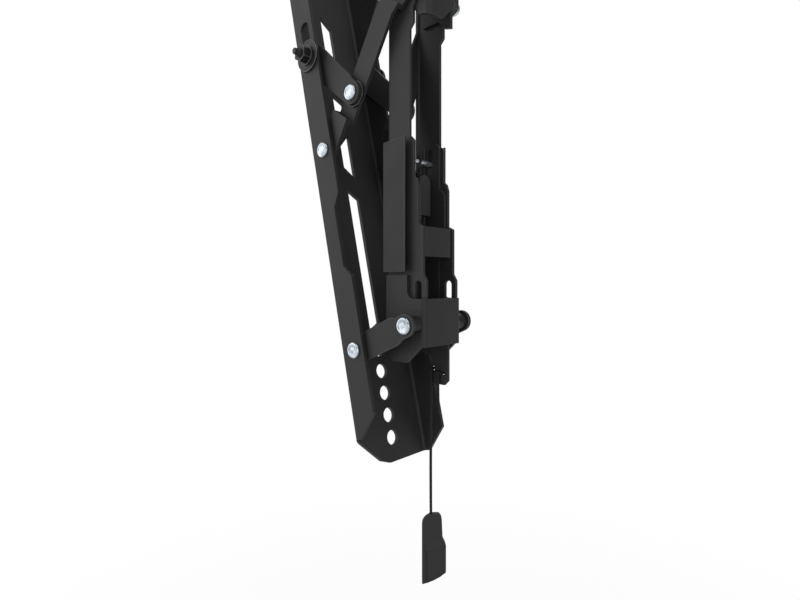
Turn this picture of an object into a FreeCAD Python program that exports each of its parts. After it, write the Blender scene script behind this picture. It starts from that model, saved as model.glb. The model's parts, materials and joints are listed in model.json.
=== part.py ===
import FreeCAD
import Part
import math
import os

# One arm of an extend-and-tilt wall bracket for a television, shown pulled out and tilted down.
# Frame in mm: x across the arm, the near side is +x, +y towards the wall, +z up.
# The origin is the middle of the lower yoke's wall face.

# Pivots of the folding linkage, as (y, z) places and lengths between them
top_pivot = (-14.0, 203.0)
foot_pivot = (-6.5, -1.0)
arm_length = 111.4
arm_lean = 33.8
rail_tilt = 13.35
rail_pivot_span = 132.1
brace_offset = 40.0
tension_offset = 68.1
slot_travel = 21.0

# Television rail, folded from sheet
rail_half_width = 31.0
rail_sheet = 2.5
rail_back = -13.5
rail_depth = 21.5
rail_bend = 2.0
rail_top = 264.0
rail_bottom = 206.0
near_flange_bottom = 186.0
rail_taper = 15.0
rail_ear_reach = 10.5
rail_ear_bottom = 112.0
rail_ear_slope = 13.0
relief_depth = 6.0
relief_top = 32.0
relief_bottom = 87.0
relief_slope = 8.0
web_chamfer = 20.0
hole_radius = 4.75
hole_pitch = 14.5
holes_each_end = 5
first_hole_margin = 15.0
window_width = 9.0
window_near = [(-120.0, -20.0), (-3.0, 13.0), (41.0, 53.0), (86.0, 117.0)]
window_far = [(-115.0, -26.0), (-10.0, 23.0), (36.0, 48.0), (78.0, 109.0)]
slot_half_width = 4.2

# Wall channel, folded from sheet, open towards the wall
channel_half_width = 15.2
channel_sheet = 2.0
channel_back = -33.0
channel_front = -13.8
channel_bend = 1.5
channel_top = 236.0
flange_low_front = -1.0
flange_mid_front = -3.4
flange_high_front = -7.3
flange_ear_front = -10.7
flange_top_front = -11.0
flange_top_bottom = 175.0
hook_ear_front = -5.8
slot_top = 24.8
channel_bottom = -13.0
channel_window_half = 12.0
channel_window_near = [(14.0, 66.0), (80.0, 90.0), (136.0, 224.0)]
channel_window_far = [(34.0, 46.0), (62.0, 149.0), (188.0, 202.5)]

# Yokes that wrap the channel at the wall
yoke_sheet = 2.3
yoke_bend = 1.0
lower_yoke_height = 28.0
lower_yoke_ear = 14.0
lower_yoke_lobe = 10.0
lobe_back = -28.0
lobe_front = -14.0
upper_yoke_bottom = 180.0
upper_yoke_chamfer = 13.0
upper_yoke_top = 222.0
upper_yoke_flat = 8.7
upper_yoke_cheek = 12.7
upper_yoke_lift = 2.6
upper_yoke_rise = 8.0
hook_reach = 8.0
hook_drop = 10.0
hook_sheet = 3.0

# Flat bars and the layers they lie in, measured out from the middle
link_sheet = 2.5
arm_half_width = 7.8
arm_head_radius = 9.0
arm_knee_side = -4.3
arm_knee_drop = 19.4
link_half_width = 8.5
link_end_radius = 6.7
link_shoulder = 11.0
brace_half_width = 7.3
brace_wide_half = 9.5
middle_washer_radius = 8.2
layer_gap = 0.05
brace_layer = 24.2
arm_layer = 19.5
arm_top_layer = 15.9
outer_layer = 25.3
lower_joggle = 25.2
upper_joggle_drop = 13.4

# Rivets, pins and the tension bolt
rivet_radius = 3.0
rivet_fit = 0.05
rivet_head_radius = 5.0
rivet_head_height = 1.7
foot_hole_play = 1.5
foot_tail_radius = 6.0
top_bolt_radius = 4.0
top_bolt_end = 30.0
top_head_height = 5.0
top_nut_height = 6.0
top_nut_radius = 6.8
stud_radius = 3.0
stud_end = 43.0
tension_disc_radius = 10.5
tension_disc_height = 1.5
tension_washer_radius = 6.5
tension_washer_height = 1.2
tension_nut_radius = 5.8
tension_nut_height = 5.0

# Side strips on the channel
strip_sheet = 1.5
strip_bottom = 30.0
strip_top = 109.0
strip_gap = 3.0
strip_post_radius = 2.0
strip_post_head = 3.4
strip_post_head_height = 0.8
strip_post_y = -18.0
strip_post_heights = [98.0, 70.5]

# Latch carriage that slides in the channel
carriage_half_width = 12.6
carriage_sheet = 1.5
carriage_back = -26.0
carriage_bend = 1.2
carriage_low_front = -5.2
carriage_mid_front = -12.5
carriage_high_front = -8.2
carriage_ear_front = -12.5
carriage_bottom = -12.0
carriage_shoulder = 82.0
carriage_ear_top = 112.0
catch_front = -3.2
catch_bottom = 39.0
catch_top = 56.5
opening_bottom = 14.5
tail_back = -19.5
tail_bottom = -40.7
tail_corner = 3.0
tail_hole_radius = 1.4
tail_holes = [(-17.2, -31.0), (-9.6, -33.2)]
latch_travel = 7.0
cross_pin_radius = 1.7
cross_pin_place = (-20.0, 99.0)
stop_pin_radius = 2.2
stop_pin_place = (-6.9, 8.0)
slide_play = 0.4
spring_wire = 0.6
spring_turns = 6.5
spring_bottom = 69.0
spring_top = 92.0
tongue_half_width = 5.0
tongue_front = -14.5
tongue_top = 90.0
tongue_bottom = 65.0

# Pull cord and its tab
cord_radius = 0.9
cord_points = [(-9.5, -17.7, -33.0), (-9.3, -17.7, -68.0), (-9.0, -17.6, -103.0), (-9.4, -17.7, -125.0)]
tail_points = [(-9.5, -12.0, -33.5), (-9.4, -12.0, -45.0), (-9.2, -11.4, -57.0)]
knot_radius = 1.45
cord_rod_radius = 0.8
tab_turn = 133.3
tab_top = -122.8
tab_left = -5.7
tab_neck_right = 6.8
tab_grip_right = 9.5
tab_step_top = -137.0
tab_step_bottom = -143.2
tab_right_bottom = -160.0
tab_bottom = -167.5
tab_thickness = 3.4
tab_shoulder = 6.0
tab_corner = 3.0

origin = FreeCAD.Vector(0, 0, 0)
across = FreeCAD.Vector(1, 0, 0)


def point(place, x=0.0):
    """A (y, z) place as a vector at x."""
    return FreeCAD.Vector(x, place[0], place[1])


def along(start, distance, lean):
    """The place at a distance from start, leaning from upright towards +y."""
    angle = math.radians(lean)
    return (start[0] + distance * math.sin(angle), start[1] + distance * math.cos(angle))


def side_prism(places, low_x, high_x):
    """A flat outline of (y, z) places, extruded across the arm."""
    corners = [point(place, low_x) for place in places]
    face = Part.Face(Part.makePolygon(corners + corners[:1]))
    return face.extrude(FreeCAD.Vector(high_x - low_x, 0, 0))


def front_prism(places, low_y, high_y):
    """A flat outline of (x, z) places, extruded along y."""
    corners = [FreeCAD.Vector(x, low_y, z) for x, z in places]
    face = Part.Face(Part.makePolygon(corners + corners[:1]))
    return face.extrude(FreeCAD.Vector(0, high_y - low_y, 0))


def disc(place, radius, low_x, high_x):
    return Part.makeCylinder(radius, high_x - low_x, point(place, low_x), across)


def ring(place, radius, hole, low_x, high_x):
    return disc(place, radius, low_x, high_x).cut(disc(place, hole, low_x - 1, high_x + 1))


def obround(start, end, radius, low_x, high_x):
    """A flat bar with round ends between two places."""
    a = point(start, low_x)
    b = point(end, low_x)
    direction = (b - a).normalize()
    side = direction.cross(across) * radius
    tip_a = a - direction * radius
    tip_b = b + direction * radius
    edges = [
        Part.LineSegment(a + side, b + side).toShape(),
        Part.Arc(b + side, tip_b, b - side).toShape(),
        Part.LineSegment(b - side, a - side).toShape(),
        Part.Arc(a - side, tip_a, a + side).toShape(),
    ]
    return Part.Face(Part.Wire(edges)).extrude(FreeCAD.Vector(high_x - low_x, 0, 0))


def toward(start, end, distance):
    """The place at a distance from start on the line to end."""
    share = distance / math.dist(start, end)
    return tuple(a + (b - a) * share for a, b in zip(start, end))


def tapered_bar(start, start_radius, end, end_radius, low_x, high_x):
    """A flat bar with round ends of two sizes and straight sides tangent to both."""
    length = math.dist(start, end)
    heading = math.atan2(end[1] - start[1], end[0] - start[0])
    lean = math.acos((start_radius - end_radius) / length)

    def rim(centre, radius, angle):
        return point((centre[0] + radius * math.cos(angle), centre[1] + radius * math.sin(angle)), low_x)

    start_left, start_right = (rim(start, start_radius, heading + k * lean) for k in (1, -1))
    end_left, end_right = (rim(end, end_radius, heading + k * lean) for k in (1, -1))
    edges = [
        Part.LineSegment(start_left, end_left).toShape(),
        Part.Arc(end_left, rim(end, end_radius, heading), end_right).toShape(),
        Part.LineSegment(end_right, start_right).toShape(),
        Part.Arc(start_right, rim(start, start_radius, heading + math.pi), start_left).toShape(),
    ]
    return Part.Face(Part.Wire(edges)).extrude(FreeCAD.Vector(high_x - low_x, 0, 0))


def hexagon(place, radius, low_x, high_x):
    corners = [along(place, radius, 60 * k) for k in range(6)]
    return side_prism(corners, low_x, high_x)


def u_channel(half_width, back, front, sheet, bend, low_z, high_z):
    """A folded U: its web lies at back and its flanges reach to front."""
    sense = 1 if front > back else -1
    outer = bend + sheet
    c = math.sqrt(0.5)
    z = low_z

    def at(x, y):
        return FreeCAD.Vector(x, y, z)

    def corner(side, radius, centre_x, centre_y, start, end):
        middle = at(centre_x + side * radius * c, centre_y - sense * radius * c)
        return Part.Arc(start, middle, end).toShape()

    centre_y = back + sense * outer
    centre_x = half_width - outer
    inner_x = half_width - sheet
    web_y = back + sense * sheet
    edges = [
        Part.LineSegment(at(half_width, front), at(half_width, centre_y)).toShape(),
        corner(1, outer, centre_x, centre_y, at(half_width, centre_y), at(centre_x, back)),
        Part.LineSegment(at(centre_x, back), at(-centre_x, back)).toShape(),
        corner(-1, outer, -centre_x, centre_y, at(-centre_x, back), at(-half_width, centre_y)),
        Part.LineSegment(at(-half_width, centre_y), at(-half_width, front)).toShape(),
        Part.LineSegment(at(-half_width, front), at(-inner_x, front)).toShape(),
        Part.LineSegment(at(-inner_x, front), at(-inner_x, centre_y)).toShape(),
        corner(-1, bend, -centre_x, centre_y, at(-inner_x, centre_y), at(-centre_x, web_y)),
        Part.LineSegment(at(-centre_x, web_y), at(centre_x, web_y)).toShape(),
        corner(1, bend, centre_x, centre_y, at(centre_x, web_y), at(inner_x, centre_y)),
        Part.LineSegment(at(inner_x, centre_y), at(inner_x, front)).toShape(),
        Part.LineSegment(at(inner_x, front), at(half_width, front)).toShape(),
    ]
    return Part.Face(Part.Wire(edges)).extrude(FreeCAD.Vector(0, 0, high_z - low_z))


def mirrored(shape):
    return shape.mirror(origin, across)


def rivet(place, radius, head_radius, tail_x, face_x, head_height):
    """A shank from tail_x to face_x with a flat head whose rim is chamfered."""
    rim = head_height / 2
    top = face_x + head_height
    head = disc(place, head_radius, face_x, top - rim)
    crown = Part.makeCone(head_radius, head_radius - rim, rim, point(place, top - rim), across)
    return disc(place, radius, tail_x, face_x).fuse([head, crown]).removeSplitter()


arm_rail_pivot = along(top_pivot, -arm_length, arm_lean)
middle_pivot = along(arm_rail_pivot, brace_offset, arm_lean)
rail_foot_pivot = along(arm_rail_pivot, -rail_pivot_span, -rail_tilt)
tension_place = along(arm_rail_pivot, tension_offset, -rail_tilt)

spring_radius = cross_pin_radius + spring_wire + layer_gap
flange_inner = rail_half_width - rail_sheet
rail_front = rail_back + rail_depth
yoke_outer = channel_half_width + yoke_sheet


def on_rail(shape):
    """Move a shape from the rail's own frame, upright at its pivot, to its place."""
    placed = shape.copy()
    placed.rotate(origin, across, rail_tilt)
    placed.translate(point(arm_rail_pivot))
    return placed


def rail_hole_places():
    """Heights of the screw holes in the rail's web, in the rail's own frame."""
    lower = [first_hole_margin - rail_bottom + hole_pitch * k for k in range(holes_each_end)]
    upper = [rail_top - first_hole_margin - hole_pitch * k for k in range(holes_each_end)]
    return lower + upper


def bay_window(half_width, near, far, low_y, high_y):
    """A four-sided window between the ties of a web, its near and far sides of different heights."""
    places = [
        (half_width, near[0]),
        (half_width, near[1]),
        (-half_width, far[1]),
        (-half_width, far[0]),
    ]
    return front_prism(places, low_y, high_y)


def make_tv_rail():
    ear_front = rail_front + rail_ear_reach
    rail = u_channel(
        rail_half_width, rail_back, ear_front, rail_sheet, rail_bend, -rail_bottom, rail_top
    )
    reach = rail_half_width + 1
    clear = ear_front + 1
    below_ear = [
        (clear, -rail_bottom - 1),
        (rail_front, -rail_bottom - 1),
        (rail_front, rail_ear_bottom),
        (ear_front, rail_ear_bottom + rail_ear_slope),
        (clear, rail_ear_bottom + rail_ear_slope),
    ]
    relief_y = rail_front - relief_depth
    relief = [
        (clear, -relief_top),
        (rail_front, -relief_top),
        (relief_y, -relief_top - relief_slope),
        (relief_y, -relief_bottom + relief_slope),
        (rail_front, -relief_bottom),
        (clear, -relief_bottom),
    ]
    taper_y = rail_front - rail_taper
    near_taper = [
        (clear, -near_flange_bottom + rail_taper),
        (rail_front, -near_flange_bottom + rail_taper),
        (taper_y, -near_flange_bottom),
        (rail_back + rail_sheet, -near_flange_bottom),
        (rail_back + rail_sheet, -rail_bottom - 1),
        (clear, -rail_bottom - 1),
    ]
    far_taper = [
        (clear, -rail_bottom + rail_taper),
        (rail_front, -rail_bottom + rail_taper),
        (taper_y, -rail_bottom - 0.01),
        (clear, -rail_bottom - 0.01),
    ]
    top_taper = [
        (clear, rail_top - rail_taper),
        (ear_front, rail_top - rail_taper),
        (taper_y + rail_ear_reach, rail_top + 0.01),
        (clear, rail_top + 0.01),
    ]
    inside = flange_inner - rail_bend - 1
    blunt_x = rail_half_width - web_chamfer + 1.5
    chamfer = [
        (reach, -rail_bottom - 1),
        (blunt_x - 7.5, -rail_bottom - 1),
        (blunt_x - 7.5, -rail_bottom),
        (blunt_x, -rail_bottom + 2.8),
        (reach, -rail_bottom + web_chamfer + 1),
    ]
    cuts = [
        side_prism(below_ear, -reach, reach),
        side_prism(relief, -reach, reach),
        side_prism(near_taper, inside, reach),
        side_prism(far_taper, -reach, -inside),
        side_prism(top_taper, -reach, reach),
        front_prism(chamfer, rail_back - 1, rail_back + rail_sheet + rail_bend + 1),
    ]
    half = window_width / 2
    for near, far in zip(window_near, window_far):
        cuts.append(bay_window(half, near, far, rail_back - 1, rail_back + rail_sheet + 1))
    for height in rail_hole_places():
        base = FreeCAD.Vector(0, rail_back - 1, height)
        cuts.append(Part.makeCylinder(hole_radius, rail_sheet + 2, base, FreeCAD.Vector(0, 1, 0)))
    for side in (1, -1):
        low_x = min(side * flange_inner, side * rail_half_width) - 0.5
        high_x = low_x + rail_sheet + 1
        slot_start = (0.0, tension_offset)
        slot_end = (0.0, tension_offset + slot_travel)
        cuts.append(obround(slot_start, slot_end, slot_half_width, low_x, high_x))
        cuts.append(disc((0.0, 0.0), rivet_radius, low_x, high_x))
        cuts.append(disc((0.0, -rail_pivot_span), rivet_radius, low_x, high_x))
    return on_rail(rail.cut(cuts))


def make_wall_channel():
    deepest = -yoke_sheet - yoke_bend - layer_gap
    channel = u_channel(
        channel_half_width,
        channel_back,
        flange_low_front,
        channel_sheet,
        channel_bend,
        channel_bottom,
        channel_top,
    )
    reach = channel_half_width + 1
    front = channel_front
    half_height = lower_yoke_height / 2
    outline = [
        (channel_back - 1, channel_bottom),
        (deepest, channel_bottom),
        (deepest, half_height + layer_gap),
        (flange_low_front, half_height + layer_gap),
        (flange_low_front, slot_top),
        (flange_mid_front, slot_top + 4),
        (flange_mid_front, catch_top),
        (flange_high_front, catch_top + 2),
        (flange_high_front, carriage_shoulder - 1),
        (flange_high_front - 1.2, carriage_shoulder + 3),
        (flange_ear_front, carriage_shoulder + 5),
        (flange_ear_front, strip_top - 1.5),
        (flange_ear_front - 1.5, strip_top),
        (front, strip_top),
        (front, flange_top_bottom),
        (flange_top_front, flange_top_bottom + 3),
        (flange_top_front, upper_yoke_bottom + upper_yoke_rise),
        (hook_ear_front, upper_yoke_bottom + 2 * upper_yoke_rise),
        (hook_ear_front, channel_top - upper_yoke_rise),
        (front, channel_top),
        (channel_back - 1, channel_top),
    ]
    channel = channel.common(side_prism(outline, -reach, reach))
    cuts = []
    for near, far in zip(channel_window_near, channel_window_far):
        cuts.append(
            bay_window(channel_window_half, near, far, channel_back - 1, channel_back + channel_sheet + 0.4)
        )
    slide_low = stop_pin_place[1] - stop_pin_radius - latch_travel - slide_play
    slide_start = (stop_pin_place[0], slide_low + stop_pin_radius + slide_play)
    slide_end = (stop_pin_place[0], slot_top - stop_pin_radius - slide_play)
    cuts.append(obround(slide_start, slide_end, stop_pin_radius + slide_play, -reach, reach))
    cuts.append(disc(top_pivot, top_bolt_radius, -reach, reach))
    cuts.append(disc(cross_pin_place, cross_pin_radius, -reach, reach))
    return channel.cut(cuts)


def make_lower_yoke():
    half = lower_yoke_height / 2
    inner_back = channel_back + 2
    low = -half - lower_yoke_lobe
    high = half + lower_yoke_ear
    yoke = u_channel(yoke_outer, 0.0, inner_back, yoke_sheet, yoke_bend, low, high)
    wrap = yoke_sheet + yoke_bend
    ear_edge = channel_front
    side = [
        (inner_back, low + 4),
        (inner_back, high),
        (ear_edge, high),
        (ear_edge, half + 4),
        (ear_edge + 1.5, half + 1),
        (ear_edge + 4, half),
        (0.0, half),
        (0.0, -half),
        (-wrap, -half),
        (lobe_front, low),
        (lobe_back, low),
    ]
    reach = yoke_outer + 1
    return yoke.common(side_prism(side, -reach, reach)).cut(disc(foot_pivot, rivet_radius, -reach, reach))


def make_upper_yoke():
    """The yoke inside the channel's top, with the hook that hangs on the wall plate."""
    half_width = channel_half_width - channel_sheet
    yoke = u_channel(
        half_width, 0.0, channel_back + 5, yoke_sheet, yoke_bend, upper_yoke_bottom, upper_yoke_top
    )
    outline = [
        (0.1, upper_yoke_bottom),
        (-upper_yoke_flat, upper_yoke_bottom + upper_yoke_lift),
        (-upper_yoke_cheek, upper_yoke_bottom + upper_yoke_rise),
        (channel_back + 7, upper_yoke_bottom + upper_yoke_rise),
        (channel_back + 7, upper_yoke_top - 6),
        (-upper_yoke_cheek, upper_yoke_top),
        (0.1, upper_yoke_top),
    ]
    reach = half_width + 1
    yoke = yoke.common(side_prism(outline, -reach, reach))
    lip_top = upper_yoke_top + hook_sheet
    hook = [
        (-hook_sheet, upper_yoke_top - 0.5),
        (-hook_sheet, lip_top),
        (hook_reach, lip_top),
        (hook_reach, lip_top - hook_drop),
        (hook_reach - hook_sheet, lip_top - hook_drop),
        (hook_reach - hook_sheet, upper_yoke_top),
        (0.0, upper_yoke_top),
        (0.0, upper_yoke_top - 0.5),
    ]
    lip_half = half_width - yoke_sheet - yoke_bend
    yoke = yoke.fuse(side_prism(hook, -lip_half, lip_half)).removeSplitter()
    low = upper_yoke_bottom
    corner = front_prism(
        [
            (reach, low - 1),
            (half_width, low),
            (0.0, low + 2),
            (-half_width, low + 2 + upper_yoke_chamfer),
            (-reach, low + 3 + upper_yoke_chamfer),
            (-reach, low - 1),
        ],
        -yoke_sheet - yoke_bend,
        1.0,
    )
    return yoke.cut([corner, disc(top_pivot, top_bolt_radius, -reach, reach)])


def make_upper_arm():
    """A flat bar joggled out at its foot, in and back at its head, drawn upright and then leaned."""
    outer = outer_layer
    main = arm_layer
    top = arm_top_layer
    low = -arm_half_width
    high = arm_length + arm_head_radius
    upper_joggle = arm_length - upper_joggle_drop
    sheet = link_sheet
    profile = [
        (outer, low),
        (outer, lower_joggle - sheet),
        (main, lower_joggle - sheet),
        (main, upper_joggle - sheet),
        (top, upper_joggle - sheet),
        (top, high),
        (top + sheet, high),
        (top + sheet, upper_joggle),
        (main + sheet, upper_joggle),
        (main + sheet, lower_joggle),
        (outer + sheet, lower_joggle),
        (outer + sheet, low),
    ]
    reach = outer + link_sheet + 1
    foot = (0.0, 0.0)
    knee = (arm_knee_side, arm_length - arm_knee_drop)
    head = (0.0, arm_length)
    outline = obround(foot, knee, arm_half_width, top - 1, reach)
    outline = outline.fuse(tapered_bar(head, arm_head_radius, knee, arm_half_width, top - 1, reach))
    widest = arm_head_radius - arm_knee_side
    bar = front_prism(profile, -widest, widest).common(outline)
    holes = [
        disc(foot, rivet_radius + rivet_fit, 0, reach),
        disc((0.0, brace_offset), rivet_radius, 0, reach),
        disc(head, top_bolt_radius + rivet_fit, 0, reach),
    ]
    bar = bar.cut(holes)
    bar.rotate(origin, across, -arm_lean)
    bar.translate(point(arm_rail_pivot))
    return bar


def make_brace_link():
    far_x = brace_layer + link_sheet
    link = tapered_bar(
        middle_pivot, brace_half_width, tension_place, brace_wide_half, brace_layer, far_x
    )
    return link.cut(
        [
            disc(middle_pivot, rivet_radius + rivet_fit, brace_layer - 1, far_x + 1),
            disc(tension_place, stud_radius, brace_layer - 1, far_x + 1),
        ]
    )


def make_lower_link():
    far_x = outer_layer + link_sheet
    shoulder = toward(foot_pivot, rail_foot_pivot, link_shoulder)
    link = obround(rail_foot_pivot, shoulder, link_half_width, outer_layer, far_x)
    link = link.fuse(obround(shoulder, foot_pivot, link_end_radius, outer_layer, far_x))
    return link.cut(
        [
            disc(rail_foot_pivot, rivet_radius + foot_hole_play, outer_layer - 1, far_x + 1),
            disc(foot_pivot, rivet_radius + rivet_fit, outer_layer - 1, far_x + 1),
        ]
    )


def make_rail_pin(place, tail_radius):
    """A pin riveted into the rail's flange, with a flat tail inside the link."""
    tail_face = outer_layer - layer_gap
    shank = rivet(
        place, rivet_radius, rivet_head_radius, tail_face, rail_half_width, rivet_head_height
    )
    tail = disc(place, tail_radius, tail_face - rivet_head_height, tail_face)
    return shank.fuse(tail).removeSplitter()


def make_flange_washer(place):
    """The thin washer between a link and the rail's flange."""
    low_x = outer_layer + link_sheet + layer_gap
    return ring(place, rivet_head_radius + 2, rivet_radius, low_x, flange_inner)


def make_middle_rivet():
    """The rivet that the brace link turns on, set in the upper arm."""
    face_x = brace_layer + link_sheet + layer_gap
    return rivet(
        middle_pivot, rivet_radius, rivet_head_radius, arm_layer, face_x, flange_inner - face_x - 0.2
    )


def make_middle_washer():
    low_x = arm_layer + link_sheet
    return ring(middle_pivot, middle_washer_radius, rivet_radius, low_x, brace_layer - layer_gap)


def make_lower_rivet():
    """The rivet that the lower link turns on, set in the lower yoke."""
    face_x = outer_layer + link_sheet + layer_gap
    return rivet(foot_pivot, rivet_radius, rivet_head_radius, channel_half_width, face_x, rivet_head_height)


def make_lower_bush():
    return ring(foot_pivot, rivet_head_radius, rivet_radius, yoke_outer, outer_layer - layer_gap)


def make_tension_stud():
    return disc(tension_place, stud_radius, brace_layer, stud_end)


def make_tension_bush():
    low_x = brace_layer + link_sheet
    return ring(tension_place, tension_washer_radius, stud_radius, low_x, flange_inner - layer_gap)


def make_tension_disc():
    low_x = rail_half_width + layer_gap
    return ring(tension_place, tension_disc_radius, stud_radius, low_x, low_x + tension_disc_height)


def make_tension_washer():
    low_x = rail_half_width + layer_gap + tension_disc_height
    return ring(tension_place, tension_washer_radius, stud_radius, low_x, low_x + tension_washer_height)


def make_tension_nut():
    low_x = rail_half_width + layer_gap + tension_disc_height + tension_washer_height
    high_x = low_x + tension_nut_height
    nut = hexagon(tension_place, tension_nut_radius, low_x, high_x)
    return nut.cut(disc(tension_place, stud_radius, low_x - 1, high_x + 1))


def make_top_bolt():
    """The through bolt of the top pivot, its head near and its threaded end far."""
    face_x = arm_top_layer + link_sheet + layer_gap
    head = hexagon(top_pivot, top_nut_radius, face_x, face_x + top_head_height)
    return head.fuse(disc(top_pivot, top_bolt_radius, -top_bolt_end, face_x)).removeSplitter()


def make_top_nut():
    face_x = arm_top_layer + link_sheet + layer_gap + tension_disc_height
    nut = hexagon(top_pivot, top_nut_radius, -face_x - top_nut_height, -face_x)
    return nut.cut(disc(top_pivot, top_bolt_radius, -top_bolt_end, 0))


def make_top_washer():
    face_x = arm_top_layer + link_sheet + layer_gap
    return ring(top_pivot, tension_disc_radius - 1, top_bolt_radius, -face_x - tension_disc_height, -face_x)


def make_arm_spacer():
    """The washer between the channel and the upper arm at the top pivot."""
    high_x = arm_top_layer - layer_gap
    return ring(top_pivot, rivet_head_radius + 3, top_bolt_radius, channel_half_width, high_x)


def make_side_strip():
    """A plain strip that stands off the channel's side on two posts."""
    low_y = channel_back + channel_bend
    places = [
        (low_y, strip_bottom),
        (channel_front, strip_bottom),
        (channel_front, strip_top + 1.5),
        (low_y, strip_top),
    ]
    low_x = channel_half_width + strip_gap
    return side_prism(places, low_x, low_x + strip_sheet)


def make_strip_posts():
    """Both posts of a side strip, one group of separate solids."""
    low_x = channel_half_width
    high_x = low_x + strip_gap
    posts = []
    for z in strip_post_heights:
        place = (strip_post_y, z)
        face_x = high_x - strip_post_head_height
        shank = disc(place, strip_post_radius, low_x, face_x)
        posts.append(shank.fuse(disc(place, strip_post_head, face_x, high_x)).removeSplitter())
    return Part.makeCompound(posts)


def make_latch_carriage():
    """A folded slide, open to the wall, with a catch, guide ears, a spring tongue and a cord tail."""
    half_width = carriage_half_width
    inner_x = half_width - carriage_sheet
    reach = half_width + 1
    back = carriage_back
    slide = u_channel(
        half_width,
        back,
        carriage_low_front,
        carriage_sheet,
        carriage_bend,
        carriage_bottom,
        carriage_ear_top,
    )
    walls = [
        (back - 1, carriage_bottom),
        (carriage_low_front, carriage_bottom),
        (carriage_low_front, opening_bottom - 4),
        (carriage_mid_front, opening_bottom - 1),
        (carriage_mid_front, catch_bottom),
        (carriage_high_front, catch_bottom + 3),
        (carriage_high_front, carriage_shoulder - 4),
        (carriage_high_front - 3, carriage_shoulder),
        (carriage_ear_front, carriage_shoulder),
        (carriage_ear_front, carriage_ear_top - 3),
        (carriage_ear_front - 3, carriage_ear_top),
        (back + 5, carriage_ear_top),
        (back, carriage_ear_top - 5),
        (back - 1, carriage_ear_top - 5),
    ]
    body = slide.common(side_prism(walls, -reach, reach))
    catch = u_channel(
        half_width, catch_front, back + 8, carriage_sheet, carriage_bend, catch_bottom, catch_top
    )
    body = body.fuse([catch, make_tongue(), make_cord_tail(-half_width)])
    web_window = Part.makeBox(
        2 * (inner_x - 3),
        carriage_sheet + 0.2,
        carriage_ear_top - spring_top + 6,
        FreeCAD.Vector(3 - inner_x, back - 0.1, spring_top),
    )
    pin_high = (cross_pin_place[0], cross_pin_place[1] + latch_travel)
    cuts = [
        web_window,
        obround(cross_pin_place, pin_high, cross_pin_radius + slide_play, -reach, reach),
        disc(stop_pin_place, stop_pin_radius, -reach, reach),
    ]
    for place in tail_holes:
        cuts.append(disc(place, tail_hole_radius, -reach, -inner_x + 0.1))
    return body.cut(cuts).removeSplitter()


def make_tongue():
    """The rounded tongue that is lanced from the slide's back to hold the spring."""
    front = tongue_front
    low = tongue_bottom
    half = tongue_half_width
    shelf_length = front - carriage_back - carriage_sheet
    shelf = Part.makeBox(
        2 * half,
        shelf_length,
        carriage_sheet,
        FreeCAD.Vector(-half, carriage_back + carriage_sheet, low),
    )
    plate = Part.makeBox(
        2 * half,
        carriage_sheet,
        tongue_top - half - low,
        FreeCAD.Vector(-half, front - carriage_sheet, low),
    )
    top = Part.makeCylinder(
        half,
        carriage_sheet,
        FreeCAD.Vector(0, front - carriage_sheet, tongue_top - half),
        FreeCAD.Vector(0, 1, 0),
    )
    hook_hole = Part.makeCylinder(
        spring_wire + 0.4,
        carriage_sheet + 2,
        FreeCAD.Vector(0, cross_pin_place[0] + spring_radius, low - 1),
    )
    return shelf.fuse([plate, top]).cut(hook_hole)


def make_cord_tail(low_x):
    """The tail on the carriage's far wall that the cord is tied to."""
    corner = tail_corner
    places = [
        (tail_back, carriage_bottom + 1),
        (tail_back, tail_bottom),
        (carriage_low_front - corner, tail_bottom),
        (carriage_low_front, tail_bottom + corner),
        (carriage_low_front, carriage_bottom + 1),
    ]
    return side_prism(places, low_x, low_x + carriage_sheet)


def make_cross_pin():
    half = channel_half_width
    return disc(cross_pin_place, cross_pin_radius, -half, half)


def make_stop_pin():
    half = channel_half_width - 0.3
    return disc(stop_pin_place, stop_pin_radius, -half, half)


def wire_section(centre, direction):
    """The spring wire's section, six-sided to keep its faces few."""
    side = direction.cross(across)
    if side.Length < 0.01:
        side = direction.cross(FreeCAD.Vector(0, 1, 0))
    side.normalize()
    other = direction.cross(side).normalize()
    corners = []
    for k in range(6):
        angle = math.radians(60 * k)
        corners.append(centre + (side * math.cos(angle) + other * math.sin(angle)) * spring_wire)
    return Part.makePolygon(corners + corners[:1])


def wire_tube(path, start, direction):
    """Spring wire along a path."""
    return path.makePipeShell([wire_section(start, direction)], True, False)


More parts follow.
